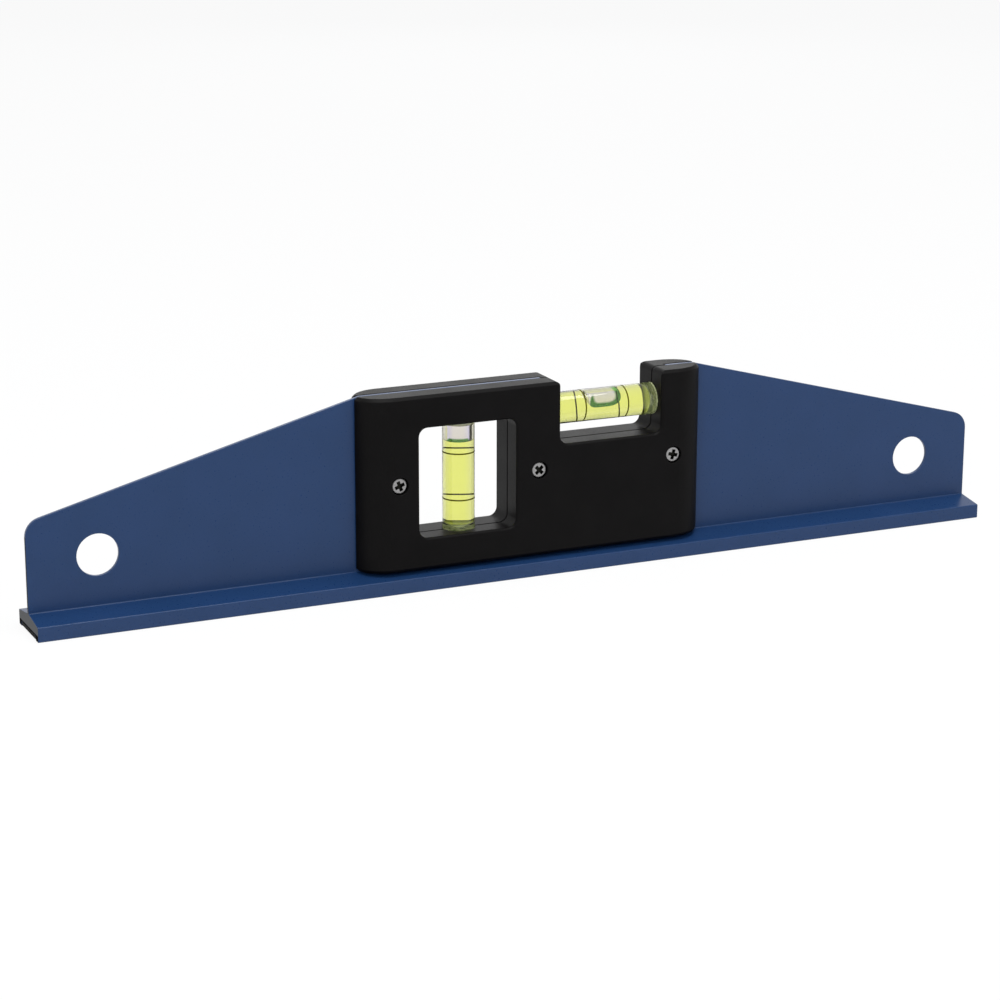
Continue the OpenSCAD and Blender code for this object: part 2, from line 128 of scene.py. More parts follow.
class Value:
    """A socket in a node tree. Arithmetic on it adds Math nodes to the tree."""

    def __init__(self, nodes, socket):
        self.nodes, self.socket = nodes, socket

    def _math(self, operation, *values):
        return self.nodes.node("ShaderNodeMath", {"operation": operation}, dict(enumerate(values)))

    def __add__(self, other):
        return self._math("ADD", self, other)

    def __sub__(self, other):
        return self._math("SUBTRACT", self, other)

    def __rsub__(self, other):
        return self._math("SUBTRACT", other, self)

    def __mul__(self, other):
        return self._math("MULTIPLY", self, other)

    __radd__, __rmul__ = __add__, __mul__

    def __truediv__(self, other):
        return self._math("DIVIDE", self, other)

    def __rtruediv__(self, other):
        return self._math("DIVIDE", other, self)

    def __gt__(self, other):
        return self._math("GREATER_THAN", self, other)

    def __lt__(self, other):
        return self._math("LESS_THAN", self, other)

    def __abs__(self):
        return self._math("ABSOLUTE", self)

    def root(self):
        return self._math("SQRT", self)

    def sine(self):
        return self._math("SINE", self)

    def clamped(self):
        return self.nodes.node("ShaderNodeClamp", {}, {"Value": self})


class Nodes:
    """A node tree in the making."""

    def __init__(self, tree):
        self.tree = tree

    def node(self, kind, settings=None, sockets=None, output=0):
        """Adds a node, sets it up and returns the output asked for, as a Value."""
        made = self.tree.nodes.new(kind)
        for key, setting in (settings or {}).items():
            setattr(made, key, setting)
        self.plug(made, sockets or {})
        return Value(self, made.outputs[output])

    def plug(self, made, sockets):
        """Links or sets a node's inputs. A list goes to one socket, and a colour of three gets its alpha."""
        for key, given in sockets.items():
            socket = made.inputs[key]
            for one in given if isinstance(given, list) else [given]:
                if isinstance(one, Value):
                    self.tree.links.new(one.socket, socket)
                elif socket.type == "RGBA" and len(one) == 3:
                    socket.default_value = (*one, 1.0)
                else:
                    socket.default_value = one

    def axes(self, vector):
        """x, y and z of a vector."""
        split = self.node("ShaderNodeSeparateXYZ", {}, {"Vector": vector}).socket.node
        return [Value(self, out) for out in split.outputs]

    def vector(self, x=0.0, y=0.0, z=0.0):
        """A vector put together from its three numbers."""
        return self.node("ShaderNodeCombineXYZ", {}, {0: x, 1: y, 2: z})


class Finish(Nodes):
    """A material, or the world, in the making, from its first node to its shader."""

    def __init__(self, name, world=False):
        self.owner = bpy.data.worlds.new(name) if world else bpy.data.materials.new(name)
        self.output = "ShaderNodeOutputWorld" if world else "ShaderNodeOutputMaterial"
        self.owner.use_nodes = True
        super().__init__(self.owner.node_tree)
        self.tree.nodes.clear()

    def place(self):
        """The point on the piece, in metres in the frame."""
        return self.node("ShaderNodeTexCoord", output="Object")

    def attribute(self, name):
        """The number that the mesh stores under that name."""
        return self.node("ShaderNodeAttribute", {"attribute_name": name}, output="Fac")

    def looked_at(self):
        """1 for rays that show the surface, in glass and mirrors too, and 0 for those that only light."""
        rays = [self.node("ShaderNodeLightPath", output=name)
                for name in ("Is Camera Ray", "Is Glossy Ray", "Is Transmission Ray")]
        return (rays[0] + rays[1] + rays[2]).clamped()

    def stretched(self, vector, scale):
        """The point scaled along each axis: a pattern on it is drawn out where the scale is small."""
        return self.node("ShaderNodeMapping", {}, {"Vector": vector, "Scale": scale})

    def noise(self, vector, size, detail=2.0, roughness=0.5):
        """Soft noise from 0 to 1 whose blotches are about size metres across."""
        return self.node("ShaderNodeTexNoise", {},
                         {"Vector": vector, "Scale": 1 / size, "Detail": detail, "Roughness": roughness})

    def between(self, value, low, high, to_low=0.0, to_high=1.0):
        """value carried from low..high to to_low..to_high, and held there."""
        return self.node("ShaderNodeMapRange", {"clamp": True}, {
            "Value": value, "From Min": low, "From Max": high, "To Min": to_low, "To Max": to_high})

    def colours(self, factor, first, second):
        """first where factor is 0, second where it is 1."""
        return self.node("ShaderNodeMix", {"data_type": "RGBA"},
                         {"Factor": factor, 6: first, 7: second}, output=2)

    def bump(self, height, depth):
        """A normal that follows height, 0 to 1, over depth metres."""
        return self.node("ShaderNodeBump", {}, {"Height": height, "Distance": depth, "Strength": 1.0})

    def shader(self, **sockets):
        """A Principled shader; underscores in the names stand for spaces."""
        named = {key.replace("_", " "): given for key, given in sockets.items()}
        return self.node("ShaderNodeBsdfPrincipled", {}, named)

    def blend(self, factor, first, second):
        """The first shader where factor is 0, the second where it is 1."""
        return self.node("ShaderNodeMixShader", {}, {0: factor, 1: first, 2: second})

    def done(self, surface):
        """Ends the tree with the shader and returns what it belongs to."""
        last = self.tree.nodes.new(self.output)
        self.tree.links.new(surface.socket, last.inputs["Surface"])
        return self.owner


class Steps(Nodes):
    """A Geometry Nodes tree in the making, with a geometry in and out and the named inputs."""

    def __init__(self, name, inputs):
        super().__init__(bpy.data.node_groups.new(name, "GeometryNodeTree"))
        sockets = self.tree.interface
        sockets.new_socket("Geometry", in_out="INPUT", socket_type="NodeSocketGeometry")
        for label, kind in inputs.items():
            sockets.new_socket(label, in_out="INPUT", socket_type="NodeSocket" + kind)
        sockets.new_socket("Geometry", in_out="OUTPUT", socket_type="NodeSocketGeometry")
        self.given = {out.name: Value(self, out) for out in self.tree.nodes.new("NodeGroupInput").outputs}

    def circle(self, sides, radius):
        """A round curve with that many sides."""
        return self.node("GeometryNodeCurvePrimitiveCircle", {"mode": "RADIUS"},
                         {"Resolution": sides, "Radius": radius})

    def turned(self, sides):
        """The given half profile taken once round its axis, with its seams closed."""
        profile = self.node("GeometryNodeMeshToCurve", {}, {"Mesh": self.given["Geometry"]})
        ring = self.circle(sides, self.given["Reference Radius"])
        skin = self.node("GeometryNodeCurveToMesh", {}, {"Curve": ring, "Profile Curve": profile})
        return self.node("GeometryNodeMergeByDistance", {}, {"Geometry": skin, "Distance": WELD})

    def done(self, geometry):
        """Realize Instances, Set Material and the way out."""
        real = self.node("GeometryNodeRealizeInstances", {}, {"Geometry": geometry})
        last = self.node("GeometryNodeSetMaterial", {},
                         {"Geometry": real, "Material": self.given["Material"]})
        out = self.tree.nodes.new("NodeGroupOutput")
        self.tree.links.new(last.socket, out.inputs[0])
        return self.tree


def powder_coat():
    """Blue satin powder coat with its fine orange peel. The sawn ends are bare aluminium. Along the thin web
    the end is painted dark as painted shade, and along their lower edge it is painted black."""
    f = Finish("blue powder coat")
    spot = f.place()
    x, _, z = f.axes(spot)
    bare = abs(x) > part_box("blade")[1].x - SAWN_SKIN
    blotch = f.noise(spot, 14 * MM, 3)
    peel = f.noise(spot, 0.55 * MM, 2)
    speck = f.noise(spot, 0.16 * MM, 1)
    saw = f.noise(f.stretched(spot, (1.0, 0.22, 3.2)), 0.30 * MM, 3, 0.7)
    coat = f.colours(f.between(blotch, 0.35, 0.65), (0.0085, 0.0345, 0.107), (0.0100, 0.0370, 0.115))
    coat = f.colours(f.between(speck, 0.3, 0.7) * 0.3, coat, (0.016, 0.046, 0.132))
    metal = f.colours(f.between(saw, 0.3, 0.7), (0.080, 0.083, 0.088), (0.150, 0.155, 0.162))
    # Painted shade: the bare end of the thin web is painted dark above these heights
    web_shade = f.between(z, WEB_SHADE_FROM, WEB_SHADE_TO)
    coated = f.shader(
        Base_Color=coat,
        Roughness=f.between(peel, 0.3, 0.7, 0.27, 0.35),
        Specular_IOR_Level=0.30,
        Normal=f.bump(peel, 0.010 * MM))
    sawn = f.shader(
        Base_Color=f.colours(web_shade, metal, (0.018, 0.018, 0.022)),
        Metallic=1.0,
        Roughness=f.between(saw, 0.3, 0.7, 0.4, 0.55),
        Specular_Tint=(0.6, 0.6, 0.6),
        Normal=f.bump(saw, 0.02 * MM))
    black = f.shader(Base_Color=(0.008, 0.008, 0.008), Roughness=0.8, Specular_IOR_Level=0.0)
    # The sawn ends are painted black along their lower edge
    black_edge = bare * f.between(z + saw * BLACK_EDGE_ROUGH, BLACK_EDGE_FROM, BLACK_EDGE_TO, 1.0, 0.0)
    return f.done(f.blend(black_edge, f.blend(bare, coated, sawn), black))


def black_plastic():
    """Black moulded plastic with a fine spark-eroded grain."""
    f = Finish("black moulded plastic")
    spot = f.place()
    grain = f.noise(spot, 0.22 * MM, 3, 0.6)
    cloud = f.noise(spot, 9 * MM, 3)
    base = f.colours(f.between(cloud, 0.3, 0.7), (0.0028, 0.0025, 0.0026), (0.0042, 0.0038, 0.0039))
    return f.done(f.shader(
        Base_Color=f.colours(f.between(grain, 0.55, 0.8), base, (0.0068, 0.0062, 0.0063)),
        Roughness=f.between(grain, 0.3, 0.7, 0.34, 0.50) + f.between(cloud, 0.3, 0.7, 0.0, 0.05),
        Specular_IOR_Level=0.07,
        Normal=f.bump(grain, 0.012 * MM)))


def magnet_strip():
    """Ferrite-filled rubber with its rolled lengthways lines."""
    f = Finish("flexible magnet")
    spot = f.place()
    rolled = f.noise(f.stretched(spot, (0.02, 1.0, 1.0)), 0.5 * MM, 3, 0.6)
    filler = f.noise(spot, 0.12 * MM, 2)
    return f.done(f.shader(
        Base_Color=f.colours(f.between(filler, 0.4, 0.8), (0.007, 0.0068, 0.0065), (0.018, 0.017, 0.016)),
        Roughness=f.between(rolled, 0.3, 0.7, 0.55, 0.75),
        Specular_IOR_Level=0.05,
        Normal=f.bump(rolled, 0.03 * MM)))


def tape():
    """Dark double-sided tape with its woven fibres."""
    f = Finish("adhesive tape")
    fibre = f.noise(f.stretched(f.place(), (0.2, 1.0, 1.0)), 0.3 * MM, 4, 0.7)
    return f.done(f.shader(
        Base_Color=f.colours(fibre, (0.012, 0.011, 0.010), (0.028, 0.026, 0.024)),
        Roughness=f.between(fibre, 0.3, 0.7, 0.5, 0.7),
        Specular_IOR_Level=0.1))


def zinc():
    """Zinc plated steel with the turned rings of a screw's head; deep in the cross recess it is painted near
    black as painted shade.
    """
    f = Finish("zinc plated steel")
    rings = (f.attribute("off_axis") * (2 * math.pi / (0.16 * MM))).sine() * 0.5 + 0.5
    patina = f.noise(f.place(), 0.5 * MM, 3, 0.6)
    plated = f.colours(f.between(patina, 0.3, 0.7), (0.25, 0.245, 0.24), (0.42, 0.415, 0.42))
    return f.done(f.shader(
        # Painted shade: points deep in the cross recess are painted near black
        Base_Color=f.colours(f.between(f.attribute("sunk"), 0.05, 0.6), plated, (0.012, 0.012, 0.010)),
        Metallic=1.0,
        Roughness=f.between(patina, 0.3, 0.7, 0.28, 0.46),
        Normal=f.bump(rings * 0.3 + patina, 0.006 * MM)))


def acrylic():
    """Clear cast acrylic with the faint waviness of its polish; the sawn end that is glued in is frosted and
    painted with a mottled yellow-green glow, painted light from the liquid.
    """
    f = Finish("clear acrylic")
    spot = f.place()
    ripple = f.noise(spot, 3 * MM, 1)
    clear = f.shader(
        Base_Color=f.colours(ripple, (0.985, 0.990, 0.985), (0.999, 0.999, 0.995)),
        Roughness=0.0,
        IOR=ACRYLIC_IOR,
        Transmission_Weight=1.0,
        Normal=f.bump(ripple, 0.004 * MM))
    # Painted light: the frosted end glows yellow-green with mottled painted highlights, standing in for the
    # liquid's light
    glint_mottle = f.between(f.noise(spot, 0.5 * MM, 3, 0.7), 0.38, 0.62)
    frost_glow = f.colours(glint_mottle, (0.15, 0.20, 0.08), (0.64, 0.68, 0.38))
    rough = f.shader(Base_Color=frost_glow, Roughness=0.6, Emission_Color=frost_glow, Emission_Strength=0.13)
    return f.done(f.blend(f.between(f.attribute("sawn"), 0.4, 0.9, 0.0, 0.8), clear, rough))


def liquid():
    """Yellow-green vial liquid inside acrylic, paler where little of it is looked through.
    At the closed end the drill's rough cone is painted with a green glow, painted light for the light it
    catches."""
    f = Finish("vial liquid")
    end = f.attribute("end")
    deep, thin = (f.node("ShaderNodeBsdfGlass", {}, {
        "Color": dye, "Roughness": 0.0, "IOR": LIQUID_IOR / ACRYLIC_IOR}) for dye in (DYE, THIN_DYE))
    facing = f.node("ShaderNodeLayerWeight", {}, {"Blend": 0.5}, output="Facing")
    clear = f.blend(f.between(facing, 0.06, 0.60), deep, thin)
    # Painted light: the drill's cone glows green, dimmer and brighter along it, through emission
    drilled = f.noise(f.place(), 0.3 * MM, 2)
    dim = f.colours(drilled, (0.14, 0.17, 0.03), (0.20, 0.24, 0.05))
    bright = f.colours(drilled, (0.62, 0.70, 0.26), (0.74, 0.82, 0.34))
    glow = f.colours(f.between(end, 0.05, 0.5), dim, bright)
    cone = f.shader(Base_Color=glow, Roughness=0.3, Emission_Color=glow, Emission_Strength=0.18)
    return f.done(f.blend(f.between(end, 0.0, 0.05, 0.0, 0.75), clear, cone))


def air(name, undyed):
    """A bubble inside the liquid: light goes past the dye, and along its contact line a dark green band of
    painted shade and reflection is drawn.
    undyed is what each skin lets through, past the dye that the liquid's own skin has already given."""
    f = Finish(name)
    inside = f.node("ShaderNodeNewGeometry", output="Backfacing")
    mirror = f.node("ShaderNodeFresnel", {}, {"IOR": 1 / LIQUID_IOR})

    def skin(through, sent_back):
        let_in = f.node("ShaderNodeBsdfRefraction", {}, {
            "Color": through, "Roughness": 0.0, "IOR": AIR_BEND})
        back = f.node("ShaderNodeBsdfAnisotropic", {}, {"Color": sent_back, "Roughness": 0.0})
        return f.blend(mirror, let_in, back)

    clear = skin(undyed, scaled(undyed, AIR_MIRROR))
    # Painted shade and reflection: the dark green band along the contact line
    band = skin(SHADE_BAND_GREEN, scaled(SHADE_BAND_GREEN, SHADE_BAND_MIRROR))
    outer = f.blend(f.between(f.attribute("rim"), 0.30, 0.55), clear, band)
    return f.done(f.blend(inside, outer, skin(undyed, scaled(WHITE, AIR_MIRROR))))


def scaled(colour, by):
    """The colour with each part made by times as strong."""
    return tuple(by * part for part in colour)


def line_paint():
    """Dark olive paint in a vial's fine grooves."""
    f = Finish("line paint")
    spread = f.noise(f.place(), 0.2 * MM, 2)
    return f.done(f.shader(
        Base_Color=f.colours(spread, (0.085, 0.083, 0.003), (0.110, 0.107, 0.006)),
        Roughness=f.between(spread, 0.3, 0.7, 0.5, 0.7),
        Specular_IOR_Level=0.02))


def plug_plastic():
    """Cream moulded plastic of the vials' plugs."""
    f = Finish("plug plastic")
    grain = f.noise(f.place(), 0.4 * MM, 2)
    return f.done(f.shader(
        Base_Color=f.colours(grain, (0.62, 0.64, 0.40), (0.70, 0.72, 0.48)),
        Roughness=f.between(grain, 0.3, 0.7, 0.35, 0.5)))


FINISHES = {
    "blue_coat": powder_coat(), "black_plastic": black_plastic(), "magnet": magnet_strip(), "tape": tape(),
    "screw_steel": zinc(), "clear_acrylic": acrylic(), "vial_liquid": liquid(),
    "bubble_air": air("plumb bubble", (0.952, 0.907, 1.80)),
    "level_air": air("level bubble", (0.92, 0.89, 1.56)),
    "line_paint": line_paint(), "plug": plug_plastic()}


def in_scene(name, data):
    """A new object of the scene that shows the mesh, lamp or camera."""
    piece = bpy.data.objects.new(name, data)
    bpy.context.scene.collection.objects.link(piece)
    return piece


def piece_from(mesh, name, slot, body, *nodes):
    """Puts a finished mesh in the scene as a piece that stands for the nodes."""
    piece = in_scene(name, mesh)
    if not mesh.materials:
        mesh.materials.append(FINISHES[slot])
    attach(piece, body)
    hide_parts(*nodes)
    return piece


def baked(piece):
    """The mesh of a piece with its modifiers worked in; the piece itself is removed."""
    seen = bpy.context.evaluated_depsgraph_get()
    mesh = bpy.data.meshes.new_from_object(piece.evaluated_get(seen), depsgraph=seen)
    bpy.data.objects.remove(piece)
    return mesh


def softened(node, name, slot, width, segments=3):
    """A copy of a node's solid with its sharp edges rounded as moulding or coating leaves them."""
    mesh = NODES[node].data.copy()
    mesh.materials.clear()
    shape = bmesh.new()
    shape.from_mesh(mesh)
    bmesh.ops.remove_doubles(shape, verts=shape.verts, dist=SOLID_WELD)
    bmesh.ops.dissolve_limit(shape, angle_limit=FLAT_ANGLE, verts=shape.verts, edges=shape.edges)
    shape.to_mesh(mesh)
    shape.free()
    mesh.shade_smooth()
    piece = in_scene(name, mesh)
    bevel = piece.modifiers.new("rounded edges", "BEVEL")
    bevel.width = width
    bevel.segments = segments
    bevel.limit_method = "ANGLE"
    bevel.angle_limit = SHARP_ANGLE
    bevel.use_clamp_overlap = False
    flat = piece.modifiers.new("flat faces stay flat", "WEIGHTED_NORMAL")
    flat.keep_sharp = True
    return piece_from(baked(piece), name, slot, "level", node)


def run_tree(tree, start_mesh, name, values):
    """The plain mesh that the tree makes of start_mesh with the named inputs set."""
    piece = bpy.data.objects.new(name, start_mesh)
    modifier = piece.modifiers.new(tree.name, "NODES")
    modifier.node_group = tree
    for item in tree.interface.items_tree:
        if item.in_out == "INPUT" and item.name in values:
            modifier[item.identifier] = values[item.name]
    bpy.context.scene.collection.objects.link(piece)
    return baked(piece)


def turning_tree():
    """Turns a half profile, drawn from a reference radius outwards, once round its axis."""
    s = Steps("turned part", {"Reference Radius": "Float", "Sides": "Int", "Material": "Material"})
    return s.done(s.turned(s.given["Sides"]))


TURNING = turning_tree()


def profile_line(name, profile):
    """A half profile [(radius, height)] as a line of edges, drawn from the reference radius."""
    line = bpy.data.meshes.new(name)
    points = [(r - TURNING_RADIUS, -h, 0) for r, h in profile]
    line.from_pydata(points, [(i, i + 1) for i in range(len(points) - 1)], [])
    return line


def turned_mesh(name, profile, slot, place, crease=ROD_CREASE):
    """A closed part turned from its half profile [(radius, height)], bottom to top, and put in its place."""
    mesh = run_tree(TURNING, profile_line(name, profile), name, {
        "Reference Radius": TURNING_RADIUS, "Sides": ROUND_SIDES, "Material": FINISHES[slot]})
    tidy_faces(mesh)
    mesh.transform(place)
    smooth(mesh, crease)
    return mesh


def tidy_faces(mesh):
    """Closes seams and turns every face outwards."""
    shape = bmesh.new()
    shape.from_mesh(mesh)
    bmesh.ops.remove_doubles(shape, verts=shape.verts, dist=WELD)
    bmesh.ops.recalc_face_normals(shape, faces=shape.faces)
    shape.to_mesh(mesh)
    shape.free()


def smooth(mesh, crease):
    """Smooth shading, but for edges sharper than crease degrees."""
    mesh.shade_smooth()
    mesh.set_sharp_from_angle(angle=math.radians(crease))


def rounded_corner(radius, height, turn_r, turn_h, size, steps=5):
    """A quarter round between a side and an end: turn_r and turn_h say which way each lies."""
    centre_r, centre_h = radius - turn_r * size, height - turn_h * size
    angles = [math.pi / 2 * i / steps for i in range(steps + 1)]
    return [(centre_r + turn_r * size * math.cos(a), centre_h + turn_h * size * math.sin(a)) for a in angles]


def faded(value, low, high):
    """0 up to low, 1 from high on, and a straight way between."""
    return max(0.0, min(1.0, (value - low) / (high - low)))


class Vial:
    """One vial's sizes and place, read from the frame. In its own axes it stands with its plugged end up."""

    def __init__(self, name, lines, plugged_up):
        self.name = name
        self.lines = [f"{name}_{line}_line" for line in lines]
        low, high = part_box(f"{name}_tube")
        self.radius = min(high.y - low.y, high.z - low.z) / 2
        self.half_length = max(high - low) / 2
        first, second = (sum(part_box(line), Vector()) / 2 for line in self.lines)
        self.middle = (first + second) / 2
        self.line_offset = (first - second).length / 2
        low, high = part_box(self.lines[0])
        self.line_width = min(high.x - low.x, high.z - low.z)
        self.place = Matrix.Translation(self.middle)
        if not plugged_up:
            self.place = self.place @ Matrix.Rotation(math.radians(-90), 4, "Y")
        self.back = self.place.inverted()
        self.plug_z, self.plug_r = self.reach(f"{name}_plug")
        self.bore_z, self.bore_r = self.reach(f"{name}_liquid")

    def reach(self, node):
        """How low and high a node lies along the vial, and how far it goes to the front or rear."""
        corners = [self.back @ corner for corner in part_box(node)]
        return sorted(corner.z for corner in corners), max(abs(corner.y) for corner in corners)

    def mark(self, mesh, name, strength):
        """Stores strength of each point's height along the vial in the mesh, under that name."""
        marks = mesh.attributes.new(name, "FLOAT", "POINT")
        for point, kept in zip(mesh.vertices, marks.data):
            kept.value = strength((self.back @ point.co).z)


LEVEL_VIAL = Vial("level_vial", ("left", "right"), plugged_up=False)
PLUMB_VIAL = Vial("plumb_vial", ("upper", "lower"), plugged_up=True)


def vial_tube(vial):
    """The clear rod, closed and solid: the liquid inside it is seen through one polished skin."""
    r, h = vial.radius, vial.half_length
    foot = -h + SAWN_END
    profile = [(0, -h), *reversed(rounded_corner(r, -h, 1, -1, END_ROUND)),
               (r, foot - BRINK), (r, foot + BRINK), *rounded_corner(r, h, 1, 1, END_ROUND), (0, h)]
    mesh = turned_mesh(f"{vial.name}_glass", profile, "clear_acrylic", vial.place)
    vial.mark(mesh, "sawn", lambda z: float(z < foot))
    return piece_from(mesh, f"{vial.name}_glass", "clear_acrylic", "level", f"{vial.name}_tube")


def vial_liquid(vial):
    """The liquid fills the barrel-shaped bore, with the drill's cone at its closed end."""
    tip, high = vial.bore_z
    low = tip + DRILL_CONE
    side = []
    for i in range(BORE_STEPS + 1):
        z = low + (high - low - LIQUID_ROUND) * i / BORE_STEPS
        share = z / (low if z < 0 else high)
        side.append((vial.bore_r - BORE_DROP * share * share, z))
    foot_r, top_r = side[0][0], side[-1][0]
    cone = [(foot_r * share, tip + DRILL_CONE * (share - CONE_SAG)) for share in CONE_STEPS]
    profile = [(0, tip), *cone, (foot_r - BRINK, low - BRINK), *side,
               *rounded_corner(top_r, high, 1, 1, LIQUID_ROUND)[1:], (0, high)]
    mesh = turned_mesh(f"{vial.name}_filling", profile, "vial_liquid", vial.place, LIQUID_CREASE)
    vial.mark(mesh, "end", lambda z: faded(low - z, 0.0, DRILL_CONE))
    return piece_from(mesh, f"{vial.name}_filling", "vial_liquid", "level", f"{vial.name}_liquid")


def vial_plug(vial):
    """The plug that closes the bored end, with a small lead-in chamfer."""
    low, high = vial.plug_z
    low, r = low + PLUG_GAP, vial.plug_r
    profile = [(0, low), (r - PLUG_CHAMFER, low), (r, low + PLUG_CHAMFER), (r, high), (0, high)]
    mesh = turned_mesh(f"{vial.name}_stopper", profile, "plug", vial.place)
    return piece_from(mesh, f"{vial.name}_stopper", "clear_acrylic", "level", f"{vial.name}_plug")


def line_tree():
    """Rings of paint at even steps along a vial."""
    s = Steps("reading lines", {
        "Count": "Int", "Pitch": "Float", "Outer Radius": "Float", "Width": "Float", "Depth": "Float",
        "Sides": "Int", "Material": "Material"})
    given = s.given
    path = s.circle(given["Sides"], given["Outer Radius"] - given["Depth"] / 2.0)
    section = s.node("GeometryNodeCurvePrimitiveQuadrilateral", {"mode": "RECTANGLE"},
                     {"Width": given["Depth"], "Height": given["Width"]})
    ring = s.node("GeometryNodeCurveToMesh", {}, {"Curve": path, "Profile Curve": section})
    spots = s.node("GeometryNodeMeshLine", {"mode": "OFFSET"}, {
        "Count": given["Count"], "Start Location": s.vector(z=given["Pitch"] * -0.5),
        "Offset": s.vector(z=given["Pitch"])})
    return s.done(s.node("GeometryNodeInstanceOnPoints", {}, {"Points": spots, "Instance": ring}))


LINES = line_tree()


def vial_lines(vial):
    """The two reading lines, a hair proud of the rod so that their front halves stay sharp."""
    name = f"{vial.name}_reading_lines"
    mesh = run_tree(LINES, bpy.data.meshes.new(name), name, {
        "Count": len(vial.lines), "Pitch": 2 * vial.line_offset, "Outer Radius": vial.radius + LINE_PROUD,
        "Width": vial.line_width, "Depth": LINE_DEPTH, "Sides": ROUND_SIDES,
        "Material": FINISHES["line_paint"]})
    tidy_faces(mesh)
    mesh.transform(vial.place)
    smooth(mesh, ROD_CREASE)
    return piece_from(mesh, name, "line_paint", "level", *vial.lines)


def level_bubble():
    """The bubble under the crown of the level vial: it fills the bore above and is a flat bowl below."""
    low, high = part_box("level_vial_bubble")
    middle = (low + high) / 2
    half_x, depth = (high.x - low.x) / 2, high.z - low.z
    axis_z = LEVEL_VIAL.middle.z
    roof = LEVEL_VIAL.bore_r - FILM
    top_z = axis_z + roof
    heart = Vector((middle.x, 0, top_z - LEVEL_HEART_DOWN * depth))

    def skins(p):
        along, down = abs(p.x - middle.x) / half_x, max(0.0, top_z - p.z) / (top_z - low.z)
        square = SQUARE_LEFT if p.x < middle.x else SQUARE_RIGHT
        bowl = ((along ** square + down ** square) ** (1 / square) - 1) * depth
        side = math.hypot(p.y, p.z - axis_z) - roof
        # The painted shade band fades out towards the bubble's left end
        near_front = p.x - low.x - LEVEL_BAND_LEAN * (p.y - low.y)
        return side, bowl, contact_shade_band(side, bowl) * faded(near_front, *LEVEL_BAND_FADE)

    return swollen("level_bubble_air", heart, skins, "level_bubble", "level_vial_bubble", "X", "level_air")


def plumb_bubble():
    """The bubble at the top of the upright vial, its lower face dished by the liquid's skin."""
    low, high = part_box("plumb_vial_bubble")
    middle = PLUMB_VIAL.middle
    side_r = PLUMB_VIAL.bore_r - BORE_DROP - FILM
    ball_r = (side_r ** 2 + PLUMB_DISH ** 2) / (2 * PLUMB_DISH)
    heart = Vector((middle.x, 0, (low.z + high.z) / 2 + PLUMB_HEART_UP))

    def skins(p):
        under = (p - Vector((middle.x, 0, low.z + ball_r))).length - ball_r
        side = math.hypot(p.x - middle.x, p.y) - side_r
        # The painted shade band thins away from the middle across the view
        off_middle = abs((p.x - middle.x) * VIEW_RIGHT[0] + p.y * VIEW_RIGHT[1])
        rim = contact_shade_band(side, under) * faded(-off_middle, *PLUMB_BAND_FADE)
        return side, max(p.z - high.z, under), rim

    return swollen("plumb_bubble_air", heart, skins, "plumb_bubble", "plumb_vial_bubble", "Z", "bubble_air")


def contact_shade_band(side, wet):
    """How strongly a point shows the painted shade band along the edge between the bore's side and the wet
    skin.
    """
    return max(0.0, 1 - abs(side - wet) / SHADE_BAND_WIDTH)


def swollen(name, heart, skins, body, node, pole, finish):
    """A closed round skin blown up from heart to the nearer of two skins, which meet in a soft edge.
    skins gives both for a point, and third how much of the painted shade band it shows, kept as its rim shade."""
    shape = bmesh.new()
    bmesh.ops.create_uvsphere(shape, u_segments=BUBBLE_COLUMNS, v_segments=BUBBLE_ROWS, radius=1.0)
    if pole == "X":
        bmesh.ops.rotate(shape, verts=shape.verts, matrix=Matrix.Rotation(math.pi / 2, 3, "Y"))
    rim = shape.verts.layers.float.new("rim")
    for vert in shape.verts:
        way = vert.co.normalized()
        near, far = 0.0, BUBBLE_REACH
        for _ in range(HALVINGS):
            half = (near + far) / 2
            first, second, _ = skins(heart + way * half)
            share = max(0.0, min(1.0, 0.5 + 0.5 * (first - second) / EDGE_BLEND))
            if second + (first - second) * share + EDGE_BLEND * share * (1 - share) > 0:
                far = half
            else:
                near = half
        vert.co = heart + way * near
        vert[rim] = skins(vert.co)[2]
    bmesh.ops.recalc_face_normals(shape, faces=shape.faces)
    mesh = bpy.data.meshes.new(name)
    shape.to_mesh(mesh)
    shape.free()
    mesh.shade_smooth()
    mesh.materials.append(FINISHES[finish])
    return piece_from(mesh, name, "bubble_air", body, node)


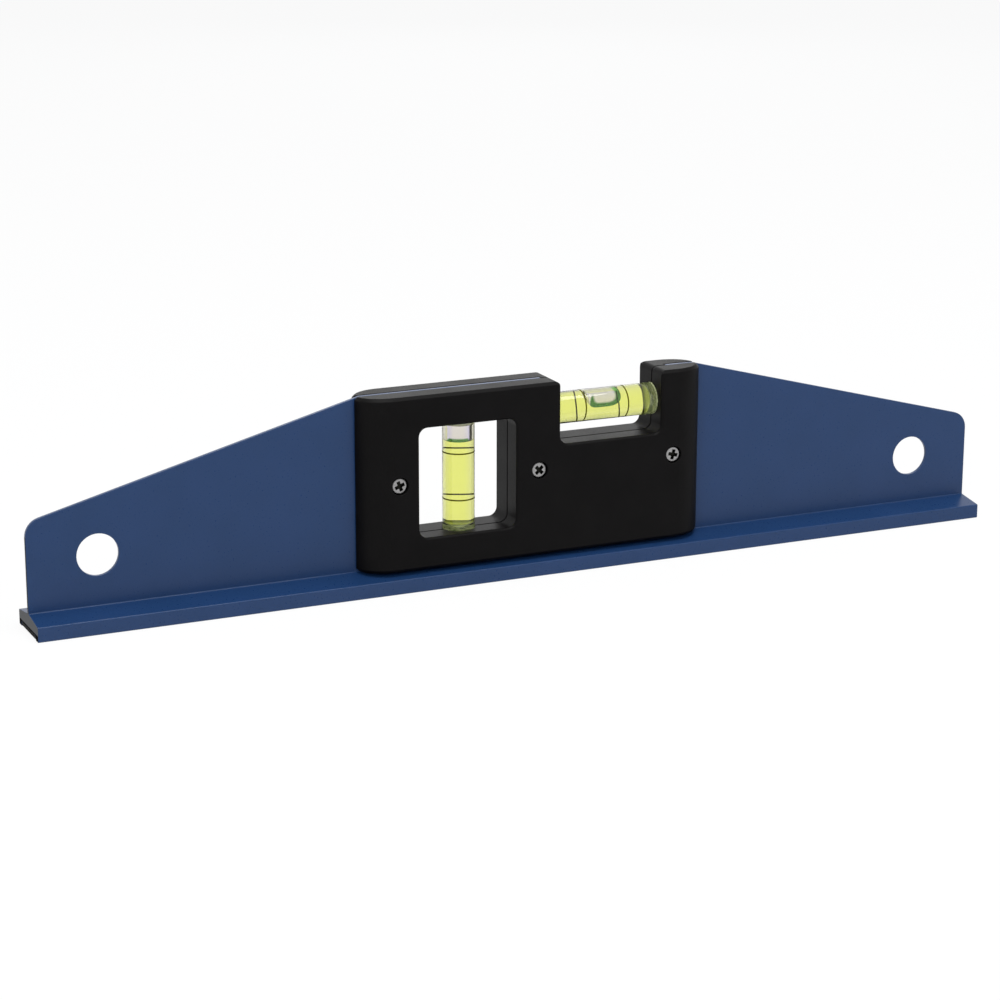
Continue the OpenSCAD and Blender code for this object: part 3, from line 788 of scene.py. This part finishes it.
def screw_tree():
    """Self-tapping screws in a row, turned from a half profile: cross recess and thread are added."""
    s = Steps("housing screws", {
        "Count": "Int", "First": "Vector", "Pitch": "Vector", "Left Turn": "Float", "Middle Turn": "Float",
        "Right Turn": "Float", "Reference Radius": "Float", "Head Height": "Float", "Shank Diameter": "Float",
        "Shank Length": "Float", "Thread Pitch": "Float", "Thread Turns": "Float", "Cross Width": "Float",
        "Cross Length": "Float", "Cross Depth": "Float", "Material": "Material"})
    given = s.given
    x, y, z = s.axes(s.node("GeometryNodeInputPosition"))

    # The recess: two crossed wedges that narrow downwards
    size = s.vector(given["Cross Length"], given["Cross Width"], given["Cross Depth"] * 2.0)
    wedge = s.node("GeometryNodeMeshCube", {}, {"Size": size})
    narrow = 1.0 - (z < 0.0) * CROSS_TAPER
    wedge = s.node("GeometryNodeSetPosition", {}, {
        "Geometry": wedge, "Position": s.vector(x * narrow, y * narrow, z)})
    lift = s.vector(z=given["Head Height"])
    arms = [s.node("GeometryNodeTransform", {}, {
        "Geometry": wedge, "Translation": lift, "Rotation": (0, 0, turn)}) for turn in (0, math.pi / 2)]
    head = s.node("GeometryNodeMeshBoolean", {"operation": "DIFFERENCE", "solver": "EXACT"}, {
        "Mesh 1": s.turned(SCREW_SIDES), "Mesh 2": arms})

    # The thread: a helix round the shank
    shank_r = given["Shank Diameter"] / 2.0
    helix = s.node("GeometryNodeCurveSpiral", {}, {
        "Resolution": THREAD_STEPS, "Rotations": given["Thread Turns"],
        "Start Radius": shank_r * THREAD_TIP_R, "End Radius": shank_r * THREAD_R,
        "Height": given["Thread Pitch"] * given["Thread Turns"]})
    ridge = s.circle(RIDGE_SIDES, shank_r * RIDGE_R)
    thread = s.node("GeometryNodeCurveToMesh", {},
                    {"Curve": helix, "Profile Curve": ridge, "Fill Caps": True})
    thread = s.node("GeometryNodeTransform", {}, {
        "Geometry": thread, "Translation": s.vector(z=given["Shank Length"] * -THREAD_FOOT)})
    one = s.node("GeometryNodeJoinGeometry", {}, {0: [thread, head]})

    # What the finish reads: how far each point is off the axis, and which points lie deep in the recess, where
    # painted shade goes
    off = (x * x + y * y).root()
    below = given["Head Height"] - z > given["Cross Depth"] * RECESS_SHADE_BELOW
    inside = off < given["Cross Length"] * RECESS_SHADE_WITHIN
    for label, mark in {"off_axis": off, "sunk": below * inside * (z > 0.0)}.items():
        one = s.node("GeometryNodeStoreNamedAttribute", {"data_type": "FLOAT", "domain": "POINT"}, {
            "Geometry": one, "Name": label, "Value": mark})

    # The row: one screw at each seat, its cross turned as the driver left it
    row = s.node("GeometryNodeMeshLine", {"mode": "OFFSET"}, {
        "Count": given["Count"], "Start Location": given["First"], "Offset": given["Pitch"]})
    pick = s.node("GeometryNodeIndexSwitch", {"data_type": "FLOAT"}).socket.node
    pick.index_switch_items.new()
    s.plug(pick, {"Index": s.node("GeometryNodeInputIndex"), 1: given["Left Turn"], 2: given["Middle Turn"],
                  3: given["Right Turn"]})
    stand = s.node("FunctionNodeEulerToRotation", {}, {0: (math.pi / 2, 0, 0)})
    twist = s.node("FunctionNodeEulerToRotation", {}, {0: s.vector(z=Value(s, pick.outputs[0]))})
    turned = s.node("FunctionNodeRotateRotation", {"rotation_space": "LOCAL"}, {0: stand, 1: twist})
    return s.done(s.node("GeometryNodeInstanceOnPoints", {},
                         {"Points": row, "Instance": one, "Rotation": turned}))


def screw_profile(head_r, length):
    """Half profile of a screw, from its tip up: shank, underside and a flat head with a rounded edge."""
    edge_w, edge_h = HEAD_EDGE_WIDTH * head_r, HEAD_EDGE_HEIGHT * HEAD_HEIGHT
    inner_r, inner_h = head_r - edge_w, HEAD_HEIGHT - edge_h
    shank = SHANK_CORE * SHANK_D / 2
    crown = [math.radians(degrees) for degrees in range(0, 91, 9)]
    edge = [(inner_r + edge_w * math.cos(a), inner_h + edge_h * math.sin(a)) for a in crown]
    return [(0, -length), (TIP_SHARE * shank, -length), (shank, -length + SHANK_D), (shank, 0), (head_r, 0),
            *edge, (0, HEAD_HEIGHT)]


def housing_screws():
    """The three screws that hold the halves together, in the seats of the front half."""
    boxes = [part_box(node) for node in SCREW_NODES]
    seats = [Vector(((low.x + high.x) / 2, low.y + HEAD_HEIGHT, (low.z + high.z) / 2)) for low, high in boxes]
    low, high = boxes[0]
    length = high.y - low.y - HEAD_HEIGHT
    turns = [math.radians(angle) for angle in CROSS_TURNS]
    profile = profile_line("screws", screw_profile((high.x - low.x) / 2, length))
    mesh = run_tree(screw_tree(), profile, "screws", {
        "Count": len(seats), "First": seats[0], "Pitch": (seats[2] - seats[0]) / 2, "Left Turn": turns[0],
        "Middle Turn": turns[1], "Right Turn": turns[2], "Reference Radius": TURNING_RADIUS,
        "Head Height": HEAD_HEIGHT, "Shank Diameter": SHANK_D, "Shank Length": length,
        "Thread Pitch": THREAD_PITCH, "Thread Turns": THREAD_TURNS, "Cross Width": CROSS_WIDTH,
        "Cross Length": CROSS_LENGTH, "Cross Depth": CROSS_DEPTH, "Material": FINISHES["screw_steel"]})
    tidy_faces(mesh)
    smooth(mesh, SCREW_CREASE)
    return piece_from(mesh, "screws", "screw_steel", "level", *SCREW_NODES)


def dress_frame():
    """The blade, both halves of the housing, the magnet strip and its tape."""
    softened("blade", "coated_blade", "blue_coat", COAT_EDGE, segments=2)
    softened("front_housing", "front_half", "black_plastic", MOULDED_EDGE)
    softened("rear_housing", "rear_half", "black_plastic", MOULDED_EDGE)
    softened("magnet_strip", "magnet", "magnet", STRIP_EDGE)
    softened("adhesive_tape", "tape", "tape", TAPE_EDGE, segments=1)


def white_room():
    """A world that is white where it is looked at and gives a dimmer, bluish light."""
    f = Finish("white room", world=True)
    light = f.node("ShaderNodeBackground", {}, {"Color": ROOM_TINT, "Strength": ROOM_LIGHT})
    white = f.node("ShaderNodeBackground", {}, {"Color": WHITE, "Strength": 1.0})
    bpy.context.scene.world = f.done(f.blend(f.looked_at(), light, white))


def pale_floor():
    """A pale floor, nearly as white as the room where it is looked at."""
    f = Finish("pale floor")
    grain = f.noise(f.place(), 40 * MM)
    paper = f.shader(Base_Color=f.colours(grain, (0.86, 0.86, 0.86), (0.88, 0.88, 0.88)), Roughness=0.9,
                     Specular_IOR_Level=0.0)
    glow = f.node("ShaderNodeEmission", {}, {"Color": WHITE, "Strength": 1.0})
    bpy.ops.mesh.primitive_plane_add(size=FLOOR_SIZE, location=(0, 0, -FLOOR_DROP))
    floor = bpy.context.object
    floor.name = "floor"
    floor.data.materials.append(f.done(f.blend(f.looked_at() * FLOOR_GLOW, paper, glow)))


def soft_lamps():
    """Round area lamps that point at the level; only some of them show in its shine."""
    for name, (at, size, power, colour) in LAMPS.items():
        lamp = bpy.data.lights.new(name, "AREA")
        lamp.shape = "DISK"
        lamp.size = size
        lamp.energy = power
        lamp.color = colour
        holder = in_scene(name, lamp)
        holder.location = at
        holder.rotation_euler = (-Vector(at)).to_track_quat("-Z", "Y").to_euler()
        holder.visible_camera = False
        holder.visible_transmission = False
        holder.visible_glossy = name in MIRRORED_LAMPS


def camera():
    """The camera where the photograph was taken from."""
    lens = bpy.data.cameras.new("camera")
    lens.lens, lens.sensor_width = LENS, SENSOR
    lens.clip_start, lens.clip_end = 0.05, 50.0
    holder = in_scene("camera", lens)
    turn = Matrix.Identity(4)
    for degrees, axis in ((CAMERA_YAW, "Z"), (-CAMERA_PITCH, "X"), (CAMERA_ROLL, "Y"), (90, "X")):
        turn = turn @ Matrix.Rotation(math.radians(degrees), 4, axis)
    holder.matrix_world = Matrix.Translation(CAMERA_AT) @ turn
    bpy.context.scene.camera = holder


bpy.context.scene.view_settings.view_transform = "Standard"
camera()
white_room()
pale_floor()
soft_lamps()
dress_frame()
housing_screws()
for vial in (LEVEL_VIAL, PLUMB_VIAL):
    vial_tube(vial)
    vial_liquid(vial)
    vial_plug(vial)
    vial_lines(vial)
level_bubble()
plumb_bubble()
